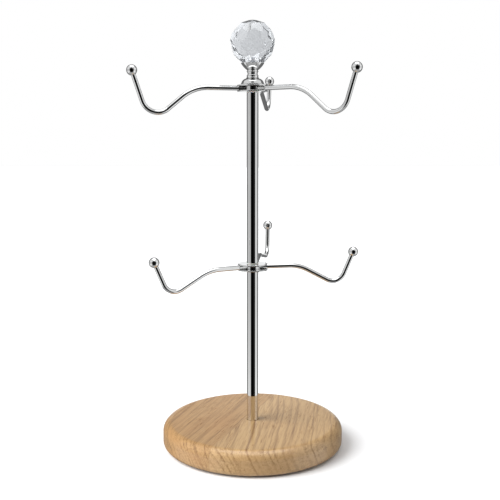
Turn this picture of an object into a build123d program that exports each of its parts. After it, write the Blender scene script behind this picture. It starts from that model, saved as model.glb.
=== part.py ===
"""Six-hook mug tree: round wooden base, chromed steel pole, two turning tiers of wire arms
and a faceted crystal finial that screws on top and clamps the stack.

Units are millimetres. The origin is on the pole axis, on the surface that the base stands on.
+Z is up, -Y is the front and +X is the right-hand side. Headings are degrees from +X,
anticlockwise seen from above.
"""

import math
import os
from dataclasses import dataclass

from build123d import *

# Wooden base and the felt pad under it
PAD_RADIUS = 73.0
PAD_THICKNESS = 1.2
BASE_RADIUS = 79.0
BASE_TOP = 22.0
BASE_TOP_ROUND = 8.0
BASE_BOTTOM_ROUND = 4.5
SEAM_OFFSET = -6.0
SEAM_HEADING = 68.0
TUBE_SEAT_DEPTH = 4.0
TUBE_SEAT_CLEARANCE = 0.1
NUT_POCKET_RADIUS = 10.0
NUT_POCKET_DEPTH = 8.0

# Tie rod and its fasteners, M6
ROD_RADIUS = 3.0
ROD_BOTTOM = 2.2
ROD_TOP = 326.3
ROD_CHAMFER = 0.6
ROD_CLEARANCE = 0.05
BASE_HOLE_RADIUS = 3.3
WASHER_RADIUS = 9.0
WASHER_THICKNESS = 1.6
NUT_ACROSS_FLATS = 10.0
NUT_HEIGHT = 5.0

# Pole tube, its end bushes and the thin washers that the tiers turn on
TUBE_RADIUS = 5.0
TUBE_BORE_RADIUS = 4.2
BUSH_LENGTH = 12.0
SWIVEL_WASHER_THICKNESS = 0.4
SWIVEL_GAP = 0.05

# Hubs: two thin discs with a collar and the wires between them
LOWER_HUB_HEIGHT = 159.0
UPPER_HUB_HEIGHT = 310.5
DISC_RADIUS = 13.0
DISC_THICKNESS = 1.1
DISC_EDGE_ROUND = 0.35
DISC_GAP = 3.5
COLLAR_RADIUS = 6.5

# Wire arms
WIRE_RADIUS = 2.0
WIRE_START = 6.6
LIFT_START = 15.0
LIFT_BEND_RADIUS = 15.0
BALL_RADIUS = 4.4

# Finial: chromed cup on a neck, with a crystal glued on a peg
FINIAL_SCREW_DEPTH = 13.0
CUP_SEAT_HEIGHT = 16.6
PEG_RADIUS = 3.0
PEG_SOCKET_DEPTH = 2.4
PEG_IN_CRYSTAL = 8.0
GLUE_GAP = 0.05
CRYSTAL_FACET_DISTANCE = 17.7
CRYSTAL_TABLE_DISTANCE = 18.1
CRYSTAL_FOOT_DISTANCE = 17.6
CRYSTAL_BLANK_RADIUS = 24.0
CRYSTAL_PHASE = 4.0

FLOOR_UP = (Align.CENTER, Align.CENTER, Align.MIN)
HUB_HALF = DISC_GAP / 2 + DISC_THICKNESS


@dataclass(frozen=True)
class ArmShape:
    """Bend points of one wire arm, as reach from the pole axis and height from the hub's middle."""

    run: float
    dip_reach: float
    dip: float
    tip_reach: float
    tip: float
    shoulder_radius: float
    cradle_radius: float


@dataclass(frozen=True)
class Arm:
    """One arm of a tier: where it points, its bends, and how far it is bent up beside the hub."""

    side: str
    heading: float
    shape: ArmShape
    lift: float = 0.0


@dataclass(frozen=True)
class Tier:
    """One turning tier: its height and the arms it carries."""

    name: str
    height: float
    arms: tuple


@dataclass(frozen=True)
class FacetRow:
    """A ring of flat facets on the crystal, all tilted up by the same angle."""

    tilt: float
    count: int
    staggered: bool


UPPER_SIDE_SHAPE = ArmShape(51.5, 88.5, -29.8, 102.5, 12.5, 35.0, 13.5)
UPPER_REAR_SHAPE = ArmShape(46.5, 91.0, -19.5, 99.0, 11.8, 23.0, 12.5)
LOWER_SIDE_SHAPE = ArmShape(41.5, 78.2, -19.6, 91.2, 10.4, 38.0, 11.2)
LOWER_REAR_SHAPE = ArmShape(36.6, 80.2, -19.6, 89.9, 8.5, 21.5, 11.5)

UPPER_REAR_HEADING = 80.6
UPPER_TIER = Tier(
    name="upper",
    height=UPPER_HUB_HEIGHT,
    arms=(
        Arm("rear", UPPER_REAR_HEADING, UPPER_REAR_SHAPE),
        Arm("left", UPPER_REAR_HEADING + 120.0, UPPER_SIDE_SHAPE),
        Arm("right", UPPER_REAR_HEADING + 240.0, UPPER_SIDE_SHAPE),
    ),
)
LOWER_TIER = Tier(
    name="lower",
    height=LOWER_HUB_HEIGHT,
    arms=(
        Arm("rear", 80.2, LOWER_REAR_SHAPE, lift=14.2),
        Arm("left", 209.0, LOWER_SIDE_SHAPE),
        Arm("right", 12.2, LOWER_SIDE_SHAPE),
    ),
)

FACET_ROWS = (
    FacetRow(-42.0, 10, True),
    FacetRow(-14.0, 10, False),
    FacetRow(14.0, 10, True),
    FacetRow(42.0, 10, False),
    FacetRow(68.0, 5, True),
)


def rod_between(radius, low, high):
    """Plain round bar on the pole axis, between two heights."""
    return Pos(0, 0, low) * Cylinder(radius, high - low, align=FLOOR_UP)


def ring(outer, inner, low, high):
    """Plain sleeve or washer about the pole axis, between two heights."""
    return rod_between(outer, low, high) - rod_between(inner, low, high)


def circles_at(shape, index):
    """Round edges of the lowest (0) or highest (-1) group."""
    return shape.edges().filter_by(GeomType.CIRCLE).group_by(Axis.Z)[index]


# ---- wooden base -------------------------------------------------------------------------


def base_blank():
    """Turned disc with both rims rounded, bored for the tie rod, the pole and the nut."""
    disc = rod_between(BASE_RADIUS, PAD_THICKNESS, BASE_TOP)
    disc = fillet(circles_at(disc, -1), BASE_TOP_ROUND)
    disc = fillet(circles_at(disc, 0), BASE_BOTTOM_ROUND)
    disc -= rod_between(BASE_HOLE_RADIUS, 0, BASE_TOP)
    seat_radius = TUBE_RADIUS + TUBE_SEAT_CLEARANCE
    disc -= rod_between(seat_radius, BASE_TOP - TUBE_SEAT_DEPTH, BASE_TOP)
    disc -= rod_between(NUT_POCKET_RADIUS, PAD_THICKNESS, PAD_THICKNESS + NUT_POCKET_DEPTH)
    return disc


def base_staves():
    """The blank cut along its glue line, which runs a little to the left of the pole."""
    across = math.radians(SEAM_HEADING - 90.0)
    to_right = (math.cos(across), math.sin(across), 0)
    on_seam = (SEAM_OFFSET * to_right[0], SEAM_OFFSET * to_right[1], 0)
    seam = Plane(origin=on_seam, z_dir=to_right)
    blank = base_blank()
    return {
        "base_left_stave": split(blank, bisect_by=seam, keep=Keep.BOTTOM),
        "base_right_stave": split(blank, bisect_by=seam, keep=Keep.TOP),
        "base_felt_pad": rod_between(PAD_RADIUS, 0, PAD_THICKNESS),
    }


# ---- tie rod, tubes and fasteners --------------------------------------------------------


def tie_rod():
    """M6 rod from the nut pocket to the finial, as a plain bar of the thread's outer size."""
    bar = rod_between(ROD_RADIUS, ROD_BOTTOM, ROD_TOP)
    return chamfer(bar.edges().filter_by(GeomType.CIRCLE), ROD_CHAMFER)


def base_fasteners():
    """Washer and hexagon nut that pull the tie rod down inside the base."""
    washer_top = PAD_THICKNESS + NUT_POCKET_DEPTH
    washer_low = washer_top - WASHER_THICKNESS
    nut_low = washer_low - NUT_HEIGHT
    hexagon = RegularPolygon(NUT_ACROSS_FLATS / 2, 6, major_radius=False)
    nut = Pos(0, 0, nut_low) * extrude(hexagon, NUT_HEIGHT)
    corner_cone = Cone(
        NUT_ACROSS_FLATS / 2 + NUT_HEIGHT * 2,
        NUT_ACROSS_FLATS / 2 * 0.95,
        NUT_HEIGHT,
        align=FLOOR_UP,
    )
    nut = nut & (Pos(0, 0, nut_low) * corner_cone)
    nut -= rod_between(ROD_RADIUS + ROD_CLEARANCE, nut_low, washer_low)
    return {
        "base_washer": ring(WASHER_RADIUS, BASE_HOLE_RADIUS, washer_low, washer_top),
        "base_nut": nut,
    }


def tube_spans():
    """Lowest and highest point of each pole tube."""
    clear = HUB_HALF + SWIVEL_GAP + SWIVEL_WASHER_THICKNESS
    return {
        "lower": (BASE_TOP - TUBE_SEAT_DEPTH, LOWER_HUB_HEIGHT - clear),
        "upper": (LOWER_HUB_HEIGHT + clear, UPPER_HUB_HEIGHT - clear),
    }


def pole_parts():
    """Both tubes, and the pair of bushes that centres each of them on the tie rod."""
    nodes = {}
    bush_bore = ROD_RADIUS + ROD_CLEARANCE
    for name, (low, high) in tube_spans().items():
        foot_bush = ring(TUBE_BORE_RADIUS, bush_bore, low, low + BUSH_LENGTH)
        head_bush = ring(TUBE_BORE_RADIUS, bush_bore, high - BUSH_LENGTH, high)
        nodes[f"{name}_tube"] = ring(TUBE_RADIUS, TUBE_BORE_RADIUS, low, high)
        nodes[f"{name}_tube_bushes"] = Compound(children=[foot_bush, head_bush])
    return nodes


def swivel_washers():
    """Thin washers above and below each hub, just clear of its discs."""
    bore = ROD_RADIUS + 2 * ROD_CLEARANCE
    washers = []
    for height in (LOWER_HUB_HEIGHT, UPPER_HUB_HEIGHT):
        top = height + HUB_HALF + SWIVEL_GAP
        bottom = height - HUB_HALF - SWIVEL_GAP
        washers.append(ring(TUBE_RADIUS, bore, bottom - SWIVEL_WASHER_THICKNESS, bottom))
        washers.append(ring(TUBE_RADIUS, bore, top, top + SWIVEL_WASHER_THICKNESS))
    return Compound(children=washers)


# ---- tiers -------------------------------------------------------------------------------


def lifted(reach, height, lift):
    """A bend point turned up about the place where a lifted wire leaves its hub."""
    angle = math.radians(lift)
    along = reach - LIFT_START
    return (
        LIFT_START + along * math.cos(angle) - height * math.sin(angle),
        0,
        along * math.sin(angle) + height * math.cos(angle),
    )


def arm_points(shape, lift):
    """Corners of a wire's centre line in the XZ plane, and the bend radius at each."""
    bends = [(shape.run, 0.0), (shape.dip_reach, shape.dip), (shape.tip_reach, shape.tip)]
    points = [(WIRE_START, 0, 0)]
    radii = [shape.shoulder_radius, shape.cradle_radius]
    if lift:
        points.append((LIFT_START, 0, 0))
        radii.insert(0, LIFT_BEND_RADIUS)
    points += [lifted(reach, height, lift) for reach, height in bends]
    return points, radii


def arm_wire(shape, lift):
    """Bent wire that leaves the hub along +X and ends at the centre of its ball."""
    points, radii = arm_points(shape, lift)
    path = FilletPolyline(points, radius=radii)
    section = Plane(origin=points[0], z_dir=(1, 0, 0)) * Circle(WIRE_RADIUS)
    return sweep(section, path=path)


def arm_ball(shape, lift, wire):
    """Ball drilled to its centre and pushed on the wire's tip."""
    tip = arm_points(shape, lift)[0][-1]
    return Pos(*tip) * Sphere(BALL_RADIUS) - wire


def hub_disc(low, wires):
    """Thin hub disc with rounded rims, and a shallow groove pressed in it for each wire."""
    bore = ROD_RADIUS + 2 * ROD_CLEARANCE
    disc = rod_between(DISC_RADIUS, low, low + DISC_THICKNESS)
    disc = fillet(disc.edges().filter_by(GeomType.CIRCLE), DISC_EDGE_ROUND)
    disc -= rod_between(bore, low, low + DISC_THICKNESS)
    for wire in wires:
        disc -= wire
    return disc


def tier_parts(tier):
    """Every piece of one tier, at its height on the pole."""
    place = Pos(0, 0, tier.height)
    nodes = {}
    wires = []
    for arm in tier.arms:
        turn = Rot(0, 0, arm.heading)
        wire = arm_wire(arm.shape, arm.lift)
        ball = arm_ball(arm.shape, arm.lift, wire)
        wires.append(turn * wire)
        nodes[f"{tier.name}_{arm.side}_arm"] = place * turn * wire
        nodes[f"{tier.name}_{arm.side}_ball"] = place * turn * ball
    collar = ring(COLLAR_RADIUS, ROD_RADIUS + ROD_CLEARANCE, -DISC_GAP / 2, DISC_GAP / 2)
    nodes[f"{tier.name}_hub_collar"] = place * collar
    nodes[f"{tier.name}_hub_top_disc"] = place * hub_disc(DISC_GAP / 2, wires)
    nodes[f"{tier.name}_hub_bottom_disc"] = place * hub_disc(-HUB_HALF, wires)
    return nodes


# ---- finial ------------------------------------------------------------------------------


def finial_bottom():
    """Height of the finial's underside, just clear of the top swivel washer."""
    return UPPER_HUB_HEIGHT + HUB_HALF + SWIVEL_WASHER_THICKNESS + 2 * SWIVEL_GAP


def finial_cup():
    """Turned part: a domed foot, a slim neck with two beads, and the cup for the crystal."""
    bore = ROD_RADIUS + ROD_CLEARANCE
    socket = PEG_RADIUS + GLUE_GAP
    seat = CUP_SEAT_HEIGHT
    outline = [
        Line((bore, 0), (9.5, 0)),
        ThreePointArc((9.5, 0), (9.95, 0.5), (9.6, 1.0)),
        Line((9.6, 1.0), (9.45, 1.4)),
        ThreePointArc((9.45, 1.4), (8.3, 3.4), (6.4, 4.6)),
        ThreePointArc((6.4, 4.6), (5.2, 5.5), (4.8, 6.6)),
        ThreePointArc((4.8, 6.6), (5.15, 6.95), (4.8, 7.3)),
        ThreePointArc((4.8, 7.3), (4.25, 8.9), (4.7, 10.2)),
        ThreePointArc((4.7, 10.2), (5.05, 10.55), (4.7, 10.9)),
        Line((4.7, 10.9), (4.5, 11.5)),
        ThreePointArc((4.5, 11.5), (7.75, 14.3), (9.85, 17.3)),
        ThreePointArc((9.85, 17.3), (9.6, 17.6), (9.3, 17.4)),
        Line((9.3, 17.4), (8.9, seat)),
        Line((8.9, seat), (socket, seat)),
        Line((socket, seat), (socket, seat - PEG_SOCKET_DEPTH)),
        Line((socket, seat - PEG_SOCKET_DEPTH), (0, seat - PEG_SOCKET_DEPTH)),
        Line((0, seat - PEG_SOCKET_DEPTH), (0, FINIAL_SCREW_DEPTH)),
        Line((0, FINIAL_SCREW_DEPTH), (bore, FINIAL_SCREW_DEPTH)),
        Line((bore, FINIAL_SCREW_DEPTH), (bore, 0)),
    ]
    section = Plane.XZ * make_face(outline)
    return Pos(0, 0, finial_bottom()) * revolve(section, Axis.Z)


def cut_facet(stone, tilt, heading, distance):
    """The stone with everything beyond one facet plane ground off."""
    up = math.radians(tilt)
    around = math.radians(heading)
    normal = Vector(math.cos(up) * math.cos(around), math.cos(up) * math.sin(around), math.sin(up))
    return split(stone, bisect_by=Plane(origin=normal * distance, z_dir=normal), keep=Keep.BOTTOM)


def finial_crystal():
    """Faceted ball with a flat foot, drilled from below for its peg."""
    stone = Sphere(CRYSTAL_BLANK_RADIUS)
    for row in FACET_ROWS:
        step = 360.0 / row.count
        shift = CRYSTAL_PHASE + (18.0 if row.staggered else 0.0)
        for index in range(row.count):
            stone = cut_facet(stone, row.tilt, shift + index * step, CRYSTAL_FACET_DISTANCE)
    stone = cut_facet(stone, 90.0, 0.0, CRYSTAL_TABLE_DISTANCE)
    stone = cut_facet(stone, -90.0, 0.0, CRYSTAL_FOOT_DISTANCE)
    foot = finial_bottom() + CUP_SEAT_HEIGHT
    stone = Pos(0, 0, foot + CRYSTAL_FOOT_DISTANCE) * stone
    return stone - rod_between(PEG_RADIUS + GLUE_GAP, foot, foot + PEG_IN_CRYSTAL)


def crystal_peg():
    """Steel peg glued half in the cup and half in the crystal."""
    foot = finial_bottom() + CUP_SEAT_HEIGHT
    low = foot - PEG_SOCKET_DEPTH + GLUE_GAP
    return rod_between(PEG_RADIUS, low, foot + PEG_IN_CRYSTAL - GLUE_GAP)


# ---- assembly ----------------------------------------------------------------------------


def all_nodes():
    """Every piece of the mug tree, by node name."""
    nodes = base_staves()
    nodes["tie_rod"] = tie_rod()
    nodes.update(base_fasteners())
    nodes.update(pole_parts())
    nodes["swivel_washers"] = swivel_washers()
    nodes.update(tier_parts(LOWER_TIER))
    nodes.update(tier_parts(UPPER_TIER))
    nodes["finial_cup"] = finial_cup()
    nodes["finial_crystal"] = finial_crystal()
    nodes["crystal_peg"] = crystal_peg()
    return nodes


os.makedirs("parts", exist_ok=True)
for node_name, node_shape in all_nodes().items():
    export_step(node_shape, f"parts/{node_name}.step")
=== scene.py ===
"""Looks of a six-hook mug tree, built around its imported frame.

The tree is a two-stave wooden base, a chromed pole in two tubes on a hidden tie rod, two
turning tiers of bent wire arms with ball ends, and a faceted crystal on a turned cup.

Sizes are in millimetres and become metres when a mesh is made. The origin is on the pole
axis, on the surface that the base stands on. +Z is up, -Y is the front, +X is to the right.
Headings are degrees from +X, anticlockwise seen from above.
"""

import logging
import math
from dataclasses import dataclass
from enum import Enum
from typing import Any, Iterable, Optional, Union

import bmesh
import bpy
import numpy as np
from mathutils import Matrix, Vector


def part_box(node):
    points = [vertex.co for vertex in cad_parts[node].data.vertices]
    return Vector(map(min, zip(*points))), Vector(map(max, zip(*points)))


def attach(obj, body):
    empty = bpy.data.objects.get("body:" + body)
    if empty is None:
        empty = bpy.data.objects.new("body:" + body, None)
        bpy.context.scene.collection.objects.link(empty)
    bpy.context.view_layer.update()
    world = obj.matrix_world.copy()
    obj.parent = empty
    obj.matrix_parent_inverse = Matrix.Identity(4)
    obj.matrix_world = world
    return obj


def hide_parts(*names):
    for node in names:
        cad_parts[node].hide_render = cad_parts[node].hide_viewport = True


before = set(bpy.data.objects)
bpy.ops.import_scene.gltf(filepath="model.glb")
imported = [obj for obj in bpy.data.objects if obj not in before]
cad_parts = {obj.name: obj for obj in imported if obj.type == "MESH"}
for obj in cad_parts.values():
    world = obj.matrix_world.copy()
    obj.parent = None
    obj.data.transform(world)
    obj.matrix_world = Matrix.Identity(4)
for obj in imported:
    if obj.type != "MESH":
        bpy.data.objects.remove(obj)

LOG = logging.getLogger("mug_tree")
MM = 0.001
TURN = 2.0 * math.pi
SUPPORT = 0.12
ARC_STEP = math.radians(5.0)
SHARP_ANGLE = math.radians(28.0)
ON_AXIS = 1e-6


# ---- surfaces ----------------------------------------------------------------------------


@dataclass(frozen=True)
class Skin:
    """A closed surface: its points in millimetres, and its faces as rows of point numbers."""

    points: np.ndarray
    quads: np.ndarray
    triangles: np.ndarray

    def moved(self, shift: tuple[float, float, float]) -> "Skin":
        """The same surface carried by a shift."""
        return Skin(self.points + np.array(shift), self.quads, self.triangles)

    def joined(self, other: "Skin") -> "Skin":
        """This surface and another one as a single skin of two shells."""
        skip = len(self.points)
        return Skin(
            np.vstack([self.points, other.points]),
            np.vstack([self.quads, other.quads + skip]),
            np.vstack([self.triangles, other.triangles + skip]),
        )

    def faces(self) -> list[list[int]]:
        """Faces turned to point outwards, as plain lists for a mesh."""
        fans = [self.triangles, self.quads[:, [0, 1, 2]], self.quads[:, [0, 2, 3]]]
        corners = self.points[np.vstack(fans)]
        volume = np.einsum("ij,ij->", corners[:, 0], np.cross(corners[:, 1], corners[:, 2]))
        order = slice(None) if volume > 0 else slice(None, None, -1)
        return self.quads[:, order].tolist() + self.triangles[:, order].tolist()


def closed_grid(points: np.ndarray, loop_rows: bool) -> Skin:
    """Joins a grid of points into a closed skin.

    Columns always close on themselves. Rows close on themselves too, or else the first and
    the last row are poles, where every point of the row is the same one.

    Args:
        points: Grid of points, rows by columns by 3.
        loop_rows: True for a ring, whose last row meets its first.

    Returns:
        The skin, with three-sided faces at the poles.
    """
    rows, columns = points.shape[:2]
    number = np.arange(rows * columns).reshape(rows, columns)
    if not loop_rows:
        number[0] = number[0, 0]
        number[-1] = number[-1, 0]
    following = np.roll(number, -1, axis=0) if loop_rows else number[1:]
    here = number if loop_rows else number[:-1]
    sides = [here, np.roll(here, -1, axis=1), np.roll(following, -1, axis=1), following]
    quads = np.stack([side.ravel() for side in sides], axis=1)
    first = quads[:, 0] == quads[:, 1]
    last = quads[:, 2] == quads[:, 3]
    triangles = np.vstack([quads[first][:, [0, 2, 3]], quads[last][:, [0, 1, 2]]])
    quads = quads[~first & ~last]
    used, flat = np.unique(np.concatenate([quads.ravel(), triangles.ravel()]), return_inverse=True)
    cut = quads.size
    return Skin(
        points.reshape(-1, 3)[used],
        flat[:cut].reshape(-1, 4),
        flat[cut:].reshape(-1, 3),
    )


class Outline:
    """A profile in the plane of radius and height, drawn with lines and arcs."""

    def __init__(self, radius: float, height: float) -> None:
        """Starts the profile at one point."""
        self._runs = [np.array([[radius, height]], float)]

    @property
    def _end(self) -> np.ndarray:
        """Where the profile has got to."""
        return self._runs[-1][-1]

    def line(self, radius: float, height: float, parts: int = 1) -> "Outline":
        """Draws a straight run, with a point close to each end that keeps it flat.

        Args:
            radius: Radius where the run ends.
            height: Height where the run ends.
            parts: Equal parts that the run is divided in.

        Returns:
            The outline itself.
        """
        start, end = self._end, np.array([radius, height], float)
        length = float(np.hypot(*(end - start)))
        margin = min(SUPPORT / length, 0.3 / parts)
        evenly = np.arange(1, parts + 1) / parts
        shares = np.unique(np.concatenate([[margin, 1.0 - margin], evenly]))
        self._runs.append(start + (end - start) * shares[:, None])
        return self

    def arc(self, via: tuple[float, float], end: tuple[float, float]) -> "Outline":
        """Draws the arc through a middle point, about the point as far from all three.

        Args:
            via: Any point on the arc, as radius and height.
            end: Where the arc ends.

        Returns:
            The outline itself.
        """
        three = np.array([self._end, via, end], float)
        chords = 2.0 * (three[1:] - three[0])
        squares = (three[1:] ** 2 - three[0] ** 2).sum(axis=1)
        centre = np.linalg.solve(chords, squares)
        spokes = three - centre
        angle = np.unwrap(np.arctan2(spokes[:, 1], spokes[:, 0]))
        steps = max(3, math.ceil(abs(angle[2] - angle[0]) / ARC_STEP))
        swing = np.linspace(angle[0], angle[2], steps + 1)[1:]
        reach = float(np.hypot(*spokes[0]))
        self._runs.append(centre + reach * np.stack([np.cos(swing), np.sin(swing)], axis=1))
        return self

    def close(self) -> np.ndarray:
        """Draws the last run back to the start, and gives the points of the closed profile."""
        self.line(*self._runs[0][0])
        return np.vstack(self._runs)[:-1]

    def points(self) -> np.ndarray:
        """The points of an open profile, which starts and ends on the axis."""
        return np.vstack(self._runs)


def turned(profile: np.ndarray, segments: int) -> Skin:
    """Turns a profile about the pole axis.

    A point at angle a is (radius cos a, radius sin a, height).

    Args:
        profile: Points as radius and height, closed, or open from axis to axis.
        segments: Steps round the axis.

    Returns:
        The turned skin.
    """
    angle = np.arange(segments) * TURN / segments
    radius, height = profile[:, :1], profile[:, 1:]
    grid = np.stack(
        [radius * np.cos(angle), radius * np.sin(angle), height + 0.0 * angle], axis=2
    )
    return closed_grid(grid, loop_rows=profile[0, 0] > ON_AXIS)


def sleeve(outer: float, bore: float, low: float, high: float, ease: float) -> np.ndarray:
    """Closed profile of a sleeve or washer with its four edges eased.

    Args:
        outer: Outer radius.
        bore: Bore radius.
        low: Height of the lower face.
        high: Height of the upper face.
        ease: Size of the small chamfer on each edge.

    Returns:
        The profile's points.
    """
    path = Outline(bore + ease, low).line(outer - ease, low).line(outer, low + ease)
    path.line(outer, high - ease).line(outer - ease, high)
    path.line(bore + ease, high).line(bore, high - ease).line(bore, low + ease)
    return path.close()


def rounded_path(corners: np.ndarray, radii: list[float]) -> tuple[np.ndarray, np.ndarray]:
    """Centre line of a bent wire in its own upright plane.

    Each corner is replaced by an arc that touches both of its runs.

    Args:
        corners: Corner points as reach and height, the first and last being the wire's ends.
        radii: Bend radius at each corner between the ends.

    Returns:
        Points along the line, and the line's slope angle at each.
    """
    runs = np.diff(corners, axis=0)
    slopes = np.arctan2(runs[:, 1], runs[:, 0])
    points, angles = [corners[:1]], [slopes[:1]]
    for index, radius in enumerate(radii):
        before, after = slopes[index], slopes[index + 1]
        side = math.copysign(1.0, after - before)
        back = radius * math.tan(abs(after - before) / 2.0)
        start = corners[index + 1] - back * np.array([math.cos(before), math.sin(before)])
        centre = start + side * radius * np.array([-math.sin(before), math.cos(before)])
        steps = max(4, math.ceil(abs(after - before) / (ARC_STEP / 4.0)))
        swing = np.linspace(before, after, steps + 1)
        arc = centre - side * radius * np.stack([-np.sin(swing), np.cos(swing)], axis=1)
        points.append(arc)
        angles.append(swing)
    points.append(corners[-1:])
    angles.append(slopes[-1:])
    return np.vstack(points), np.concatenate(angles)


def frame_box(node: str) -> tuple[np.ndarray, np.ndarray]:
    """Lowest and highest corner of a node of the frame, in millimetres."""
    low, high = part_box(node)
    return np.array(low) / MM, np.array(high) / MM


# ---- node trees --------------------------------------------------------------------------


Number = Union[float, "Signal"]


class Signal:
    """A number or colour on its way through a node tree, used in plain formulas."""

    def __init__(self, tree: "NodeTree", socket: bpy.types.NodeSocket) -> None:
        """Wraps one output socket of a tree."""
        self.tree = tree
        self.socket = socket

    def __add__(self, other: Number) -> "Signal":
        """Sum."""
        return self.tree.math("ADD", self, other)

    __radd__ = __add__

    def __mul__(self, other: Number) -> "Signal":
        """Product."""
        return self.tree.math("MULTIPLY", self, other)

    __rmul__ = __mul__

    def __sub__(self, other: Number) -> "Signal":
        """Difference."""
        return self.tree.math("SUBTRACT", self, other)

    def __rsub__(self, other: Number) -> "Signal":
        """Difference from a number, such as 1 - mask."""
        return self.tree.math("SUBTRACT", other, self)

    def __truediv__(self, other: Number) -> "Signal":
        """Quotient."""
        return self.tree.math("DIVIDE", self, other)

    def __pow__(self, power: Number) -> "Signal":
        """Power."""
        return self.tree.math("POWER", self, power)


class NodeTree:
    """A node tree that is written as calls and formulas."""

    def __init__(self, owner: Any) -> None:
        """Empties the tree of a material or world."""
        owner.use_nodes = True
        self._tree = owner.node_tree
        self._tree.nodes.clear()

    def add(
        self,
        kind: str,
        settings: Optional[dict[str, Any]] = None,
        inputs: Optional[dict[Any, Any]] = None,
        output: Any = 0,
    ) -> Signal:
        """Adds one node, sets it up, and then fills its sockets.

        Args:
            kind: The node's type, without its usual prefix.
            settings: Properties of the node. "stops" gives a ramp's stops as (place, colour).
            inputs: Values or signals by socket name or number.
            output: Name or number of the output that is wanted.

        Returns:
            The wanted output.
        """
        node = self._tree.nodes.new("ShaderNode" + kind)
        for name, value in (settings or {}).items():
            if name == "stops":
                self._fill_ramp(node.color_ramp, value)
            else:
                setattr(node, name, value)
        for name, value in (inputs or {}).items():
            if isinstance(value, Signal):
                self._tree.links.new(value.socket, node.inputs[name])
            else:
                node.inputs[name].default_value = value
        return Signal(self, node.outputs[output]) if node.outputs else Signal(self, node.inputs[0])

    @staticmethod
    def _fill_ramp(ramp: bpy.types.ColorRamp, stops: Iterable[tuple[float, tuple]]) -> None:
        """Puts a ramp's stops in place."""
        stops = list(stops)
        while len(ramp.elements) < len(stops):
            ramp.elements.new(1.0)
        for element, (place, colour) in zip(ramp.elements, stops):
            element.position = place
            element.color = colour

    def math(self, operation: str, first: Number, second: Number = 0.0) -> Signal:
        """One step of arithmetic on numbers."""
        return self.add("Math", {"operation": operation}, {0: first, 1: second})

    def smooth_step(self, value: Signal, low: float, high: float) -> Signal:
        """0 below low, 1 above high, and an S curve between them."""
        return self.add(
            "MapRange",
            {"interpolation_type": "SMOOTHSTEP"},
            {"Value": value, "From Min": low, "From Max": high},
        )

    def window(self, value: Signal, low: float, high: float, soft: float) -> Signal:
        """1 between low and high, falling to 0 over a soft edge about each."""
        rise = self.smooth_step(value, low - soft, low + soft)
        return rise * (1.0 - self.smooth_step(value, high - soft, high + soft))

    def mix(self, share: Number, first: Any, second: Any, blend: str = "MIX") -> Signal:
        """Mixes two colours.

        Args:
            share: 0 for the first colour, 1 for the second.
            first: A colour, as a signal or four numbers.
            second: The other colour.
            blend: How they mix.

        Returns:
            The mixed colour.
        """
        settings = {"data_type": "RGBA", "blend_type": blend, "clamp_factor": True}
        return self.add("Mix", settings, {"Factor": share, 6: first, 7: second}, output=2)

    def parts(self, vector: Signal) -> tuple[Signal, Signal, Signal]:
        """The three numbers of a vector."""
        node = self.add("SeparateXYZ", None, {0: vector}).socket.node
        return tuple(Signal(self, socket) for socket in node.outputs)

    def vector(self, x: Number, y: Number, z: Number) -> Signal:
        """A vector from three numbers."""
        return self.add("CombineXYZ", None, {0: x, 1: y, 2: z})

    def place(self, heading: float = 90.0) -> Signal:
        """Place on the piece in millimetres, turned so that a heading lies along Y."""
        turn = math.radians(90.0 - heading)
        spot = self.add("TexCoord", output="Object")
        inputs = {"Vector": spot, "Rotation": (0.0, 0.0, turn), "Scale": (1.0 / MM,) * 3}
        return self.add("Mapping", {"vector_type": "POINT"}, inputs)

    def noise(
        self,
        place: Signal,
        cell: tuple[float, float, float],
        detail: float = 2.0,
        roughness: float = 0.5,
    ) -> Signal:
        """Cloudy noise from 0 to 1.

        Args:
            place: Where, in millimetres.
            cell: Size of a cloud along each axis, in millimetres.
            detail: Octaves of finer noise.
            roughness: How strong the finer octaves are.

        Returns:
            The noise.
        """
        scale = tuple(1.0 / size for size in cell)
        spot = self.add("VectorMath", {"operation": "MULTIPLY"}, {0: place, 1: scale})
        inputs = {"Vector": spot, "Scale": 1.0, "Detail": detail, "Roughness": roughness}
        return self.add("TexNoise", {"noise_dimensions": "3D"}, inputs)

    def bump(self, height: Signal, depth: float, strength: float = 1.0) -> Signal:
        """Normal of a relief.

        Args:
            height: Relief from 0 to 1.
            depth: Depth of the relief in millimetres.
            strength: Share of it that is used.

        Returns:
            The normal.
        """
        inputs = {"Strength": strength, "Distance": depth * MM, "Height": height}
        return self.add("Bump", None, inputs)

    def surface(self, **sockets: Any) -> None:
        """Ends the tree in one principled surface; socket names use _ for spaces."""
        inputs = {name.replace("_", " "): value for name, value in sockets.items()}
        shader = self.add("BsdfPrincipled", None, inputs)
        self.add("OutputMaterial", None, {"Surface": shader})


def colour(red: float, green: float, blue: float) -> tuple[float, float, float, float]:
    """A linear colour with full alpha."""
    return (red, green, blue, 1.0)


# ---- finishes ----------------------------------------------------------------------------


class Slot(Enum):
    """Material slots, by name."""

    WOOD_LEFT = "wood_left"
    WOOD_RIGHT = "wood_right"
    FELT = "felt"
    ZINC_STEEL = "zinc_steel"
    NYLON = "nylon"
    CHROME = "chrome"
    CRYSTAL = "crystal"


class Polish(Enum):
    """Which way the buffing marks run on a chromed piece."""

    ROUND = (0.6, 0.6, 0.12)
    ALONG = (0.25, 0.25, 6.0)
    ALL_OVER = (0.7, 0.7, 0.7)


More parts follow.
